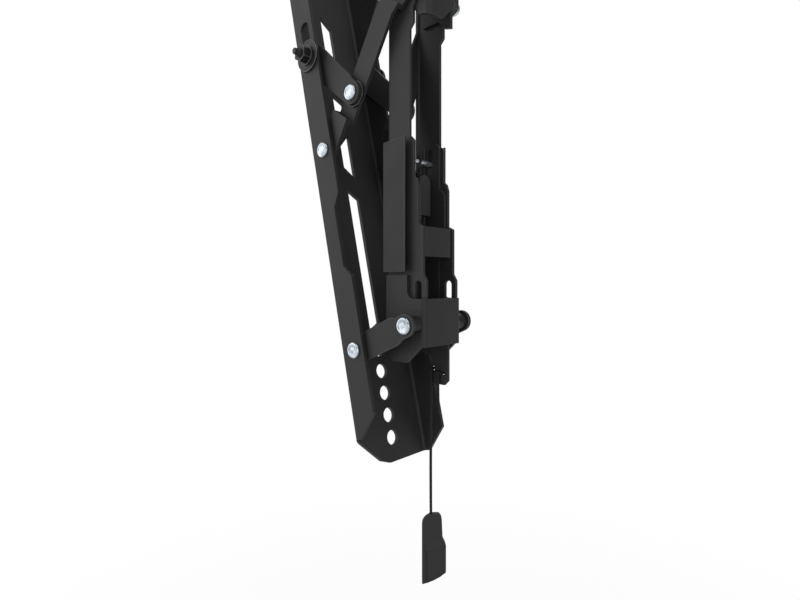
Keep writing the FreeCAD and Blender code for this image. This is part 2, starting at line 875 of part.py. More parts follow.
def make_latch_spring():
    """The tension spring between the carriage's tongue and the cross pin, with a hook at each end."""
    height = spring_top - spring_bottom
    helix = Part.makeHelix(height / spring_turns, height, spring_radius)
    section = wire_section(FreeCAD.Vector(spring_radius, 0, 0), FreeCAD.Vector(0, 1, 0))
    coil = Part.Wire(helix).makePipeShell([section], True, True)
    coil.rotate(origin, FreeCAD.Vector(0, 0, 1), 90)
    pin_y, pin_z = cross_pin_place
    coil.translate(FreeCAD.Vector(0, pin_y, spring_bottom))
    hook_z = pin_z + cross_pin_radius + spring_wire + layer_gap - spring_radius
    coil_end = point((pin_y - spring_radius, spring_top))
    up = point((pin_y - spring_radius, hook_z))
    over = point((pin_y, hook_z + spring_radius))
    down = point((pin_y + spring_radius, hook_z))
    upper_hook = Part.Wire(
        [Part.LineSegment(coil_end, up).toShape(), Part.Arc(up, over, down).toShape()]
    )
    loop_radius = 1.5
    hole_y = pin_y + spring_radius
    loop_z = tongue_bottom - spring_wire
    coil_start = point((hole_y, spring_bottom))
    low = point((hole_y, loop_z))
    under = point((hole_y - loop_radius, loop_z - loop_radius))
    back = point((hole_y - 2 * loop_radius, loop_z))
    lower_hook = Part.Wire(
        [Part.LineSegment(coil_start, low).toShape(), Part.Arc(low, under, back).toShape()]
    )
    elbow_radius = spring_wire + layer_gap
    spring = coil
    for elbow, hook, first in [(coil_end, upper_hook, up), (coil_start, lower_hook, low)]:
        spring = spring.fuse(Part.makeSphere(elbow_radius, elbow))
        spring = spring.fuse(wire_tube(hook, elbow, first - elbow))
    return spring


def rounded_path(points):
    """Straight runs joined by tangent arcs as large as the runs allow, with the radii."""
    vectors = [FreeCAD.Vector(*p) for p in points]
    edges = []
    radii = []
    last = vectors[0]
    for before, corner, after in zip(vectors, vectors[1:], vectors[2:]):
        run_in = corner - before
        run_out = after - corner
        turn = run_in.getAngle(run_out)
        reach = 0.45 * min(run_in.Length, run_out.Length)
        radii.append(reach / math.tan(turn / 2))
        start = corner - run_in.normalize() * reach
        end = corner + run_out.normalize() * reach
        bulge = (start + end) * 0.5 - corner
        inset = radii[-1] * (1 / math.cos(turn / 2) - 1)
        middle = corner + bulge.normalize() * inset
        edges.append(Part.LineSegment(last, start).toShape())
        edges.append(Part.Arc(start, middle, end).toShape())
        last = end
    edges.append(Part.LineSegment(last, vectors[-1]).toShape())
    return Part.Wire(edges), radii


def make_cord(name, points):
    """A round cord along its points; prints its radii, length and volume against section by length."""
    path, radii = rounded_path(points)
    start = FreeCAD.Vector(*points[0])
    direction = FreeCAD.Vector(*points[1]) - start
    section = Part.Wire(Part.Circle(start, direction, cord_radius).toShape())
    tube = path.makePipeShell([section], True, False)
    expected = math.pi * cord_radius ** 2 * path.Length
    print(name, "radii", [round(r, 1) for r in radii])
    print(name, "length", round(path.Length, 1), "volume ratio", round(tube.Volume / expected, 4))
    return tube


def rod(start, end):
    """A round length of pulled, thinner cord between two points."""
    return Part.makeCylinder(cord_rod_radius, (end - start).Length, start, end - start)


def make_cord_loop():
    """The turn of cord through both holes of the tail, with a knot on each hanging length."""
    outer_x = -carriage_half_width - cord_radius - 0.3
    corners = [point(place, outer_x) for place in tail_holes]
    loop = rod(*corners)
    for place, hanging in zip(tail_holes, (cord_points, tail_points)):
        start = FreeCAD.Vector(*hanging[0])
        hole = point(place, start.x)
        threaded = disc(place, cord_radius, outer_x - cord_radius, start.x + cord_radius)
        knot = Part.makeCylinder(
            knot_radius, 2 * knot_radius, start - FreeCAD.Vector(0, 0, knot_radius)
        )
        loop = loop.fuse([threaded, rod(hole, start), knot])
    return loop


def make_pull_tab():
    """A flat moulded tab: round shoulders, a narrower neck, a wider grip and a slanted foot."""
    x, y, z = cord_points[-1]
    middle = (tab_left + tab_neck_right) / 2
    outline = [
        (tab_left, tab_top - tab_shoulder),
        (tab_left + tab_corner, tab_top - tab_shoulder / 4),
        (middle, tab_top),
        (tab_neck_right - tab_corner / 2, tab_top),
        (tab_neck_right, tab_top - tab_corner),
        (tab_neck_right, tab_step_top),
        (tab_grip_right, tab_step_bottom),
        (tab_grip_right, tab_right_bottom),
        (middle, tab_bottom + tab_corner),
        (tab_left, tab_bottom),
    ]
    half = tab_thickness / 2
    tab = front_prism(outline, -half, half)
    tab.rotate(origin, FreeCAD.Vector(0, 0, 1), tab_turn)
    tab.translate(FreeCAD.Vector(x, y, 0))
    return tab


def build():
    """Every piece by the name of its node."""
    parts = {
        "tv_rail": make_tv_rail(),
        "wall_channel": make_wall_channel(),
        "lower_yoke": make_lower_yoke(),
        "upper_yoke": make_upper_yoke(),
        "top_pivot_bolt": make_top_bolt(),
        "top_pivot_nut": make_top_nut(),
        "top_pivot_washer": make_top_washer(),
        "latch_carriage": make_latch_carriage(),
        "cross_pin": make_cross_pin(),
        "stop_pin": make_stop_pin(),
        "latch_spring": make_latch_spring(),
        "pull_cord": make_cord("pull_cord", cord_points),
        "cord_tail": make_cord("cord_tail", tail_points),
        "cord_loop": make_cord_loop(),
        "pull_tab": make_pull_tab(),
    }
    paired = {
        "upper_arm": make_upper_arm(),
        "brace_link": make_brace_link(),
        "lower_link": make_lower_link(),
        "rail_rivet": make_rail_pin(arm_rail_pivot, rivet_head_radius),
        "rail_washer": make_flange_washer(arm_rail_pivot),
        "foot_pin": make_rail_pin(rail_foot_pivot, foot_tail_radius),
        "foot_washer": make_flange_washer(rail_foot_pivot),
        "middle_rivet": make_middle_rivet(),
        "middle_washer": make_middle_washer(),
        "lower_rivet": make_lower_rivet(),
        "lower_bush": make_lower_bush(),
        "tension_stud": make_tension_stud(),
        "tension_bush": make_tension_bush(),
        "tension_disc": make_tension_disc(),
        "tension_washer": make_tension_washer(),
        "tension_nut": make_tension_nut(),
        "arm_spacer": make_arm_spacer(),
        "side_strip": make_side_strip(),
        "strip_posts": make_strip_posts(),
    }
    for name, shape in paired.items():
        parts[name + "_near"] = shape
        parts[name + "_far"] = mirrored(shape)
    return parts


os.makedirs("parts", exist_ok=True)
for name, shape in build().items():
    solids = [solid for solid in shape.Solids if solid.isValid()]
    print(name, len(solids), round(shape.Volume, 1), shape.isValid())
    shape.exportStep("parts/" + name + ".step")
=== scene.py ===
import bpy
import bmesh
import json
import math
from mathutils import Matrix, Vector


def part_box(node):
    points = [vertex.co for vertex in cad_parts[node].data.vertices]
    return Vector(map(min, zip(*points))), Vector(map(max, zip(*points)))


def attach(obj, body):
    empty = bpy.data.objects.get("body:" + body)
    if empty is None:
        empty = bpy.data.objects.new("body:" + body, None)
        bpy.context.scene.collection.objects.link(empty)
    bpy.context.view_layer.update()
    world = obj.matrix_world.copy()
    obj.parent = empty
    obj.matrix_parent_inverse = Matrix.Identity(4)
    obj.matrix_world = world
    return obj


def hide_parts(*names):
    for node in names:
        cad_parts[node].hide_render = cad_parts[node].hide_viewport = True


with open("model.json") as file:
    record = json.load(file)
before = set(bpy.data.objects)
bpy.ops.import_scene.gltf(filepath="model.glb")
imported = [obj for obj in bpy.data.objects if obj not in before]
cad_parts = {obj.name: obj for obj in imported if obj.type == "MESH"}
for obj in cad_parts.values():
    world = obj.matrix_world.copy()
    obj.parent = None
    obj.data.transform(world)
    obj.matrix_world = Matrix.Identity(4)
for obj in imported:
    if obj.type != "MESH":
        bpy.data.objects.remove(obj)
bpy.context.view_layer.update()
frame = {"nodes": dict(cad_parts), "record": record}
nodes = frame["nodes"]
mm = 0.001
print("frame loaded:", len(nodes), "nodes")


# Camera: on the wall side of the arm, looking level at its lower half

cameraSettings = {
    "place": (0.2395, 0.190, 0.0245),
    "aim": (-0.7275, -0.6861, 0.0),
    "focalPixels": 509.0,
    "horizonRow": 281.0,
    "pictureWidth": 800.0,
    "pictureHeight": 600.0,
    "sensorWidth": 36.0,
    "clipStart": 0.01,
}


def makeCamera(settings):
    width = settings["pictureWidth"]
    data = bpy.data.cameras.new("sideCamera")
    data.sensor_width = settings["sensorWidth"]
    data.lens = settings["focalPixels"] / width * data.sensor_width
    data.shift_y = (settings["horizonRow"] - settings["pictureHeight"] / 2) / width
    data.clip_start = settings["clipStart"]
    camera = bpy.data.objects.new("sideCamera", data)
    bpy.context.scene.collection.objects.link(camera)
    camera.location = settings["place"]
    camera.rotation_euler = Vector(settings["aim"]).to_track_quat("-Z", "Y").to_euler()
    bpy.context.scene.camera = camera


makeCamera(cameraSettings)
print("camera placed")


# Small helpers for pieces

def newPiece(name, mesh, body):
    piece = bpy.data.objects.new(name, mesh)
    bpy.context.scene.collection.objects.link(piece)
    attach(piece, body)
    return piece


def smoothFaces(mesh, sharpDegrees):
    for face in mesh.polygons:
        face.use_smooth = True
    mesh.set_sharp_from_angle(angle=math.radians(sharpDegrees))


def bakedMesh(thing, name):
    bpy.context.view_layer.update()
    graph = bpy.context.evaluated_depsgraph_get()
    mesh = bpy.data.meshes.new_from_object(thing.evaluated_get(graph), depsgraph=graph)
    mesh.name = name
    return mesh


# Shader groups: the powder skin of the black finishes, and the bright zinc's plated skin

def newGroup(name, inputs, outputs):
    group = bpy.data.node_groups.new(name, "ShaderNodeTree")
    for title, kind in inputs:
        group.interface.new_socket(name=title, in_out="INPUT", socket_type=kind)
    for title in outputs:
        group.interface.new_socket(name=title, in_out="OUTPUT", socket_type="NodeSocketFloat")
    start = group.nodes.new("NodeGroupInput")
    end = group.nodes.new("NodeGroupOutput")
    return group, start, end


def addNode(tree, kind, **settings):
    node = tree.nodes.new(kind)
    for key, value in settings.items():
        setattr(node, key, value)
    return node


def mathNode(tree, operation, *values):
    node = addNode(tree, "ShaderNodeMath", operation=operation)
    for k, value in enumerate(values):
        if isinstance(value, bpy.types.NodeSocket):
            tree.links.new(value, node.inputs[k])
        else:
            node.inputs[k].default_value = value
    return node.outputs[0]


powderSkinSettings = {
    "peelDetail": 2.0,
    "cellSmoothness": 0.6,
    "driftDetail": 3.0,
    "cellsPerGrain": 1.7,
    "cellHeight": 0.5,
}
platedSkinSettings = {
    "markDetail": 4.0,
    "cloudScale": 260.0,
}


def makePowderSkin(settings):
    # fine orange peel of a powder coat, with a slow drift of its tone
    group, start, end = newGroup(
        "powderSkin",
        [
            ("Place", "NodeSocketVector"),
            ("Grain Scale", "NodeSocketFloat"),
            ("Drift Scale", "NodeSocketFloat"),
        ],
        ["Height", "Drift"],
    )
    link = group.links.new
    peel = addNode(group, "ShaderNodeTexNoise")
    peel.inputs["Detail"].default_value = settings["peelDetail"]
    cells = addNode(group, "ShaderNodeTexVoronoi", feature="SMOOTH_F1")
    cells.inputs["Smoothness"].default_value = settings["cellSmoothness"]
    drift = addNode(group, "ShaderNodeTexNoise")
    drift.inputs["Detail"].default_value = settings["driftDetail"]
    for texture in (peel, cells, drift):
        link(start.outputs["Place"], texture.inputs["Vector"])
    link(start.outputs["Grain Scale"], peel.inputs["Scale"])
    cellScale = mathNode(group, "MULTIPLY", start.outputs["Grain Scale"], settings["cellsPerGrain"])
    link(cellScale, cells.inputs["Scale"])
    link(start.outputs["Drift Scale"], drift.inputs["Scale"])
    grain = mathNode(group, "MULTIPLY", cells.outputs["Distance"], settings["cellHeight"])
    link(mathNode(group, "ADD", peel.outputs[0], grain), end.inputs["Height"])
    link(drift.outputs[0], end.inputs["Drift"])
    return group


def makePlatedSkin(settings):
    # small marks of a plated and handled surface, with a wider cloud of its tone
    group, start, end = newGroup(
        "platedSkin",
        [
            ("Place", "NodeSocketVector"),
            ("Mark Scale", "NodeSocketFloat"),
            ("Wobble", "NodeSocketFloat"),
        ],
        ["Marks", "Cloud"],
    )
    link = group.links.new
    marks = addNode(group, "ShaderNodeTexNoise")
    marks.inputs["Detail"].default_value = settings["markDetail"]
    link(start.outputs["Place"], marks.inputs["Vector"])
    link(start.outputs["Mark Scale"], marks.inputs["Scale"])
    link(start.outputs["Wobble"], marks.inputs["Distortion"])
    cloud = addNode(group, "ShaderNodeTexNoise")
    cloud.inputs["Scale"].default_value = settings["cloudScale"]
    link(start.outputs["Place"], cloud.inputs["Vector"])
    link(marks.outputs[0], end.inputs["Marks"])
    link(cloud.outputs[0], end.inputs["Cloud"])
    return group


powderSkin = makePowderSkin(powderSkinSettings)
platedSkin = makePlatedSkin(platedSkinSettings)

# noise textures keep mostly between these two values
noiseLow = 0.3
noiseHigh = 0.7


def newMaterial(name):
    material = bpy.data.materials.new(name)
    material.use_nodes = True
    tree = material.node_tree
    shader = tree.nodes["Principled BSDF"]
    place = addNode(tree, "ShaderNodeTexCoord")
    return material, tree, shader, place.outputs["Object"]


def colourRamp(tree, factor, stops):
    ramp = addNode(tree, "ShaderNodeValToRGB")
    tree.links.new(factor, ramp.inputs["Fac"])
    elements = ramp.color_ramp.elements
    for k, (position, shade) in enumerate(stops):
        element = elements[k] if k < 2 else elements.new(position)
        element.position = position
        element.color = (*shade, 1.0)
    return ramp.outputs["Color"]


def spread(tree, value, low, high):
    node = addNode(tree, "ShaderNodeMapRange")
    node.inputs["From Min"].default_value = noiseLow
    node.inputs["From Max"].default_value = noiseHigh
    node.inputs["To Min"].default_value = low
    node.inputs["To Max"].default_value = high
    tree.links.new(value, node.inputs["Value"])
    return node.outputs["Result"]


def addBump(tree, shader, height, strength, distance):
    bump = addNode(tree, "ShaderNodeBump")
    bump.inputs["Strength"].default_value = strength
    bump.inputs["Distance"].default_value = distance
    tree.links.new(height, bump.inputs["Height"])
    tree.links.new(bump.outputs["Normal"], shader.inputs["Normal"])


def makePowderCoat(name, settings):
    material, tree, shader, place = newMaterial(name)
    skin = addNode(tree, "ShaderNodeGroup", node_tree=powderSkin)
    tree.links.new(place, skin.inputs["Place"])
    skin.inputs["Grain Scale"].default_value = settings["grainScale"]
    skin.inputs["Drift Scale"].default_value = settings["driftScale"]
    tones = [(noiseLow, settings["deep"]), (noiseHigh, settings["pale"])]
    colour = colourRamp(tree, skin.outputs["Drift"], tones)
    tree.links.new(colour, shader.inputs["Base Color"])
    rough = spread(tree, skin.outputs["Drift"], *settings["roughness"])
    tree.links.new(rough, shader.inputs["Roughness"])
    shader.inputs["Specular IOR Level"].default_value = settings["specular"]
    addBump(tree, shader, skin.outputs["Height"], settings["bumpStrength"], settings["bumpDistance"])
    return material


powderCoat = makePowderCoat("blackPowderCoat", {
    "deep": (0.0135, 0.0135, 0.014),
    "pale": (0.0185, 0.0185, 0.019),
    "roughness": (0.54, 0.64),
    "specular": 0.3,
    "grainScale": 1500.0,
    "driftScale": 38.0,
    "bumpStrength": 0.28,
    "bumpDistance": 0.00006,
})
# a paler, glossier coat for the broken edges of the sheet pieces: a painted highlight along the edges
edgeHighlightCoat = makePowderCoat("powderCoatEdgeHighlight", {
    "deep": (0.024, 0.024, 0.0245),
    "pale": (0.032, 0.032, 0.0325),
    "roughness": (0.36, 0.46),
    "specular": 0.6,
    "grainScale": 1500.0,
    "driftScale": 90.0,
    "bumpStrength": 0.15,
    "bumpDistance": 0.00004,
})
blackZinc = makePowderCoat("blackZinc", {
    "deep": (0.006, 0.006, 0.0065),
    "pale": (0.011, 0.011, 0.0115),
    "roughness": (0.42, 0.54),
    "specular": 0.25,
    "grainScale": 3200.0,
    "driftScale": 160.0,
    "bumpStrength": 0.15,
    "bumpDistance": 0.00003,
})
# a much paler black zinc for the broken edges of the black hardware: a painted highlight on the rims
zincEdgeHighlight = makePowderCoat("blackZincEdgeHighlight", {
    "deep": (0.05, 0.05, 0.052),
    "pale": (0.09, 0.09, 0.093),
    "roughness": (0.22, 0.32),
    "specular": 0.9,
    "grainScale": 3200.0,
    "driftScale": 160.0,
    "bumpStrength": 0.1,
    "bumpDistance": 0.00003,
})
tabPlastic = makePowderCoat("mouldedPlastic", {
    "deep": (0.012, 0.012, 0.0122),
    "pale": (0.0155, 0.0155, 0.0158),
    "roughness": (0.54, 0.64),
    "specular": 0.3,
    "grainScale": 2300.0,
    "driftScale": 60.0,
    "bumpStrength": 0.3,
    "bumpDistance": 0.00004,
})


def makeBrightZinc(settings):
    material, tree, shader, place = newMaterial("brightZinc")
    skin = addNode(tree, "ShaderNodeGroup", node_tree=platedSkin)
    tree.links.new(place, skin.inputs["Place"])
    skin.inputs["Mark Scale"].default_value = settings["markScale"]
    skin.inputs["Wobble"].default_value = settings["wobble"]
    tones = [(noiseLow, settings["deep"]), (noiseHigh, settings["pale"])]
    colour = colourRamp(tree, skin.outputs["Cloud"], tones)
    tree.links.new(colour, shader.inputs["Base Color"])
    rough = spread(tree, skin.outputs["Marks"], *settings["roughness"])
    tree.links.new(rough, shader.inputs["Roughness"])
    shader.inputs["Metallic"].default_value = settings["metallic"]
    addBump(tree, shader, skin.outputs["Marks"], settings["bumpStrength"], settings["bumpDistance"])
    return material


brightZinc = makeBrightZinc({
    "deep": (0.3, 0.335, 0.37),
    "pale": (0.58, 0.62, 0.66),
    "roughness": (0.16, 0.32),
    "metallic": 0.85,
    "markScale": 1100.0,
    "wobble": 0.4,
    "bumpStrength": 0.5,
    "bumpDistance": 0.0001,
})
print("finishes made")


# Pull cord, its short tail, the turn through the slide's foot, and the tab

cordSettings = {
    "route": [(-9.5, -17.7, -33.0), (-9.3, -17.7, -68.0), (-9.0, -17.6, -103.0), (-9.4, -17.7, -125.0)],
    "tailRoute": [(-9.5, -12.0, -33.5), (-9.4, -12.0, -45.0), (-9.2, -11.4, -57.0)],
    "diameter": 1.8,
    "ringStep": 0.3,
    "sides": 16,
    "strandRelief": 0.05,
    "strands": 4,
    "strandPitch": 2.6,
    "lineSteps": 32,
    "lineOrder": 3,
    "sharpDegrees": 60,
}


def makeCordMaterial(settings):
    # braid crossings follow the UV map of the cord and its tail: u round it, v along it in metres
    # the loop between them has no such map and keeps one tone
    material, tree, shader, place = newMaterial("braidedCord")
    uv = addNode(tree, "ShaderNodeUVMap", uv_map="braidMap")
    split = addNode(tree, "ShaderNodeSeparateXYZ")
    tree.links.new(uv.outputs["UV"], split.inputs["Vector"])
    around = mathNode(tree, "MULTIPLY", split.outputs["X"], settings["strands"] * math.pi)
    along = mathNode(tree, "MULTIPLY", split.outputs["Y"], 2 * math.pi / settings["pitch"])
    left = mathNode(tree, "SINE", mathNode(tree, "ADD", along, around))
    right = mathNode(tree, "SINE", mathNode(tree, "SUBTRACT", along, around))
    weave = mathNode(tree, "MAXIMUM", left, right)
    half = mathNode(tree, "ADD", mathNode(tree, "MULTIPLY", weave, 0.5), 0.5)
    tones = zip(settings["toneStops"], (settings["deep"], settings["pale"]))
    tree.links.new(colourRamp(tree, half, tones), shader.inputs["Base Color"])
    fuzz = addNode(tree, "ShaderNodeTexNoise")
    fuzz.inputs["Scale"].default_value = settings["fuzzScale"]
    tree.links.new(place, fuzz.inputs["Vector"])
    rough = spread(tree, fuzz.outputs[0], *settings["roughness"])
    tree.links.new(rough, shader.inputs["Roughness"])
    shader.inputs["Specular IOR Level"].default_value = settings["specular"]
    height = mathNode(tree, "ADD", weave, fuzz.outputs[0])
    addBump(tree, shader, height, settings["bumpStrength"], settings["bumpDistance"])
    return material


cordMaterial = makeCordMaterial({
    "strands": cordSettings["strands"],
    "pitch": cordSettings["strandPitch"] * mm,
    "deep": (0.005, 0.005, 0.005),
    "pale": (0.012, 0.012, 0.0125),
    "toneStops": (0.2, 0.9),
    "roughness": (0.7, 0.9),
    "specular": 0.25,
    "fuzzScale": 6000.0,
    "bumpStrength": 0.3,
    "bumpDistance": 0.00006,
})


def splineLine(name, places, settings):
    data = bpy.data.curves.new(name + "Line", "CURVE")
    data.dimensions = "3D"
    data.resolution_u = settings["lineSteps"]
    spline = data.splines.new("NURBS")
    spline.points.add(len(places) - 1)
    for point, place in zip(spline.points, places):
        point.co = (*[value * mm for value in place], 1.0)
    spline.order_u = settings["lineOrder"]
    spline.use_endpoint_u = True
    carrier = bpy.data.objects.new(name + "Line", data)
    bpy.context.scene.collection.objects.link(carrier)
    mesh = bakedMesh(carrier, name + "Path")
    path = [vertex.co.copy() for vertex in mesh.vertices]
    bpy.data.objects.remove(carrier)
    bpy.data.meshes.remove(mesh)
    return path


def evenSteps(path, step):
    # places at even distances along the path, ends kept
    lengths = [0.0]
    for a, b in zip(path, path[1:]):
        lengths.append(lengths[-1] + (b - a).length)
    count = max(2, round(lengths[-1] / step))
    places = []
    k = 0
    for n in range(count + 1):
        target = lengths[-1] * n / count
        while k < len(path) - 2 and lengths[k + 1] < target:
            k += 1
        share = (target - lengths[k]) / (lengths[k + 1] - lengths[k])
        places.append(path[k].lerp(path[k + 1], share))
    return places, lengths[-1]


def braidedTube(name, path, settings):
    places, length = evenSteps(path, settings["ringStep"] * mm)
    sides = settings["sides"]
    crossings = settings["strands"] / 2
    radius = settings["diameter"] / 2 * mm
    build = bmesh.new()
    uvLayer = build.loops.layers.uv.new("braidMap")
    rings = []
    for n, place in enumerate(places):
        ahead = places[min(n + 1, len(places) - 1)] - places[max(n - 1, 0)]
        ahead.normalize()
        side = ahead.cross(Vector((0, 1, 0))).normalized()
        other = ahead.cross(side)
        along = length * n / (len(places) - 1)
        ring = []
        for k in range(sides):
            angle = 2 * math.pi * k / sides
            phase = 2 * math.pi * along / (settings["strandPitch"] * mm)
            weave = max(math.sin(phase + crossings * angle), math.sin(phase - crossings * angle))
            reach = radius * (1 - settings["strandRelief"] * (1 - weave))
            outwards = side * math.cos(angle) + other * math.sin(angle)
            ring.append(build.verts.new(place + outwards * reach))
        rings.append(ring)
    for n, (low, high) in enumerate(zip(rings, rings[1:])):
        for k in range(sides):
            face = build.faces.new((low[k], low[(k + 1) % sides], high[(k + 1) % sides], high[k]))
            corners = [(k, n), (k + 1, n), (k + 1, n + 1), (k, n + 1)]
            for loop, (around, row) in zip(face.loops, corners):
                loop[uvLayer].uv = (around / sides, length * row / (len(places) - 1))
    for ring in (rings[0][::-1], rings[-1]):
        build.faces.new(ring)
    bmesh.ops.recalc_face_normals(build, faces=build.faces)
    mesh = bpy.data.meshes.new(name)
    build.to_mesh(mesh)
    build.free()
    smoothFaces(mesh, settings["sharpDegrees"])
    mesh.materials.append(cordMaterial)
    return mesh, length


cordPath = splineLine("pullCord", cordSettings["route"], cordSettings)
cordMesh, cordLength = braidedTube("pullCord", cordPath, cordSettings)
pullCord = newPiece("pullCord", cordMesh, "latch")
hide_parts("pull_cord")
tailPath = splineLine("cordTail", cordSettings["tailRoute"], cordSettings)
tailMesh, tailLength = braidedTube("cordTail", tailPath, cordSettings)
cordTail = newPiece("cordTail", tailMesh, "latch")
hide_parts("cord_tail")

tabSettings = {
    "outline": [
        (-5.7, -130.0), (-5.5, -128.0), (-4.6, -126.2), (-3.0, -124.6), (-1.0, -123.4), (1.2, -122.9),
        (4.4, -122.8), (5.6, -123.4), (6.6, -125.0), (6.8, -126.5), (6.8, -136.8), (7.2, -138.0),
        (9.0, -141.6), (9.5, -143.2), (9.5, -159.4), (9.2, -160.4), (5.6, -162.8), (1.9, -164.8),
        (-2.0, -166.4), (-5.0, -167.5), (-5.7, -167.2),
    ],
    "thickness": 3.2,
    "edgeWidth": 0.45,
    "edgeSegments": 3,
    "padFoot": [
        (-3.4, -141.9), (1.4, -140.5), (6.6, -139.0), (9.1, -142.9), (9.2, -159.4), (5.4, -162.2),
        (1.8, -164.2), (-1.8, -165.7), (-3.4, -166.2),
    ],
    "padFace": [
        (-2.9, -145.6), (1.6, -145.0), (6.2, -144.4), (8.5, -144.1), (8.7, -159.1), (5.2, -161.6),
        (1.7, -163.6), (-1.6, -165.0), (-2.9, -165.4),
    ],
    "padInner": [
        (-2.4, -146.4), (1.7, -145.8), (6.1, -145.2), (8.1, -145.0), (8.2, -158.9), (5.0, -161.1),
        (1.6, -163.0), (-1.4, -164.3), (-2.4, -164.7),
    ],
    "padHeight": 1.1,
    "padDip": 0.5,
    "padRoot": 0.2,
    "rightWay": (-0.6861, 0.7275, 0.0),
    "sharpDegrees": 8,
}


def tabPlace(across, height, out, settings):
    # across and out are counted from the cord's lower end, and the height is the frame's own
    right = Vector(settings["rightWay"])
    facing = Vector((right.y, -right.x, 0.0))
    x, y = cordSettings["route"][-1][:2]
    return (Vector((x, y, height)) + right * across + facing * out) * mm


def addLayers(build, layers, settings):
    # one closed form through outlines that all have the same number of points
    rings = []
    for outline, out in layers:
        places = [tabPlace(across, height, out, settings) for across, height in outline]
        rings.append([build.verts.new(place) for place in places])
    faces = [build.faces.new(rings[0]), build.faces.new(rings[-1][::-1])]
    for low, high in zip(rings, rings[1:]):
        for k in range(len(low)):
            n = (k + 1) % len(low)
            faces.append(build.faces.new((low[k], high[k], high[n], low[n])))
    return faces


def makeTab(settings):
    build = bmesh.new()
    half = settings["thickness"] / 2
    faces = addLayers(build, [(settings["outline"], half), (settings["outline"], -half)], settings)
    rim = [edge for face in faces[:2] for edge in face.edges]
    bmesh.ops.bevel(
        build,
        geom=rim,
        offset=settings["edgeWidth"] * mm,
        segments=settings["edgeSegments"],
        affect="EDGES",
        profile=0.5,
    )
    raised = half + settings["padHeight"]
    pad = [
        (settings["padInner"], raised - settings["padDip"]),
        (settings["padFace"], raised),
        (settings["padFoot"], half - settings["padRoot"]),
    ]
    addLayers(build, pad + [(outline, -out) for outline, out in reversed(pad)], settings)
    bmesh.ops.recalc_face_normals(build, faces=build.faces)
    mesh = bpy.data.meshes.new("pullTab")
    build.to_mesh(mesh)
    build.free()
    smoothFaces(mesh, settings["sharpDegrees"])
    mesh.materials.append(tabPlastic)
    return mesh


pullTab = newPiece("pullTab", makeTab(tabSettings), "latch")
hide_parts("pull_tab")
loopMaterials = nodes["cord_loop"].data.materials
loopMaterials.clear()
loopMaterials.append(cordMaterial)
print("cord and tab made:", round(cordLength, 4), round(tailLength, 4))


# Sheet pieces: each folded or flat piece with its edges broken so that they catch the light, and the
# broken edges take a paler coat as a painted highlight

edgeSettings = {
    "mergeDistance": 0.002,
    "flatDegrees": 0.7,
    "sharpDegrees": 30.0,
    "segments": 2,
}
# each piece's CAD node, its body and the width of its edges in mm
sheetPieces = {
    "tvRail": ("tv_rail", "tv_rail", 0.3),
    "wallChannel": ("wall_channel", "wall_bracket", 0.25),
    "lowerYoke": ("lower_yoke", "wall_bracket", 0.3),
    "upperYoke": ("upper_yoke", "wall_bracket", 0.3),
    "latchSlide": ("latch_carriage", "latch", 0.2),
    "nearArm": ("upper_arm_near", "upper_arms", 0.3),
    "farArm": ("upper_arm_far", "upper_arms", 0.3),
    "nearBrace": ("brace_link_near", "brace_links", 0.3),
    "farBrace": ("brace_link_far", "brace_links", 0.3),
    "nearLowerLink": ("lower_link_near", "lower_links", 0.3),
    "farLowerLink": ("lower_link_far", "lower_links", 0.3),
    "nearStrip": ("side_strip_near", "wall_bracket", 0.3),
    "farStrip": ("side_strip_far", "wall_bracket", 0.3),
}


def brokenEdges(name, node, settings, width, materials):
    build = bmesh.new()
    build.from_mesh(nodes[node].data)
    bmesh.ops.remove_doubles(build, verts=build.verts, dist=settings["mergeDistance"] * mm)
    flat = math.radians(settings["flatDegrees"])
    bmesh.ops.dissolve_limit(build, angle_limit=flat, verts=build.verts, edges=build.edges)
    mesh = bpy.data.meshes.new(name)
    build.to_mesh(mesh)
    build.free()
    for material in materials:
        mesh.materials.append(material)
    carrier = bpy.data.objects.new(name + "Blank", mesh)
    bpy.context.scene.collection.objects.link(carrier)
    bevel = carrier.modifiers.new("brokenEdge", "BEVEL")
    bevel.width = width * mm
    bevel.segments = settings["segments"]
    bevel.limit_method = "ANGLE"
    bevel.angle_limit = math.radians(settings["sharpDegrees"])
    bevel.harden_normals = True
    # the bevel's faces take the last finish; for the black coats that is a paler coat, a painted
    # highlight on the edges
    bevel.material = len(materials) - 1
    smoothFaces(mesh, settings["sharpDegrees"])
    final = bakedMesh(carrier, name)
    bpy.data.objects.remove(carrier)
    return final


recordSlots = {row["node"]: row["material_slot"] for row in frame["record"]["subparts"]}
for name, (node, body, width) in sheetPieces.items():
    coat = tabPlastic if recordSlots[node] == "black_plastic" else powderCoat
    mesh = brokenEdges(name, node, edgeSettings, width, [coat, edgeHighlightCoat])
    piece = newPiece(name, mesh, body)
    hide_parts(node)
print("sheet pieces dressed:", len(sheetPieces))


# Hardware: bought parts with broken edges, in black or bright zinc; the black parts' broken edges take
# a much paler zinc as a painted highlight

hardwareSettings = {
    "edgeWidth": 0.22,
    "sided": {
        "wall_bracket": ["lower_bush", "arm_spacer"],
        "upper_arms": ["middle_washer"],
        "tv_rail": ["rail_washer", "foot_washer"],
        "brace_links": ["tension_bush", "tension_disc", "tension_washer", "tension_nut"],
    },
    "single": {
        "wall_bracket": ["top_pivot_bolt", "top_pivot_nut", "top_pivot_washer", "cross_pin"],
        "latch": ["stop_pin"],
    },
}
finishes = {
    "zinc_steel": [brightZinc],
    "black_oxide": [blackZinc, zincEdgeHighlight],
}


def pieceName(node):
    first, *rest = node.split("_")
    return first + "".join(word.capitalize() for word in rest)


def bothSides(kind):
    return [kind + "_near", kind + "_far"]


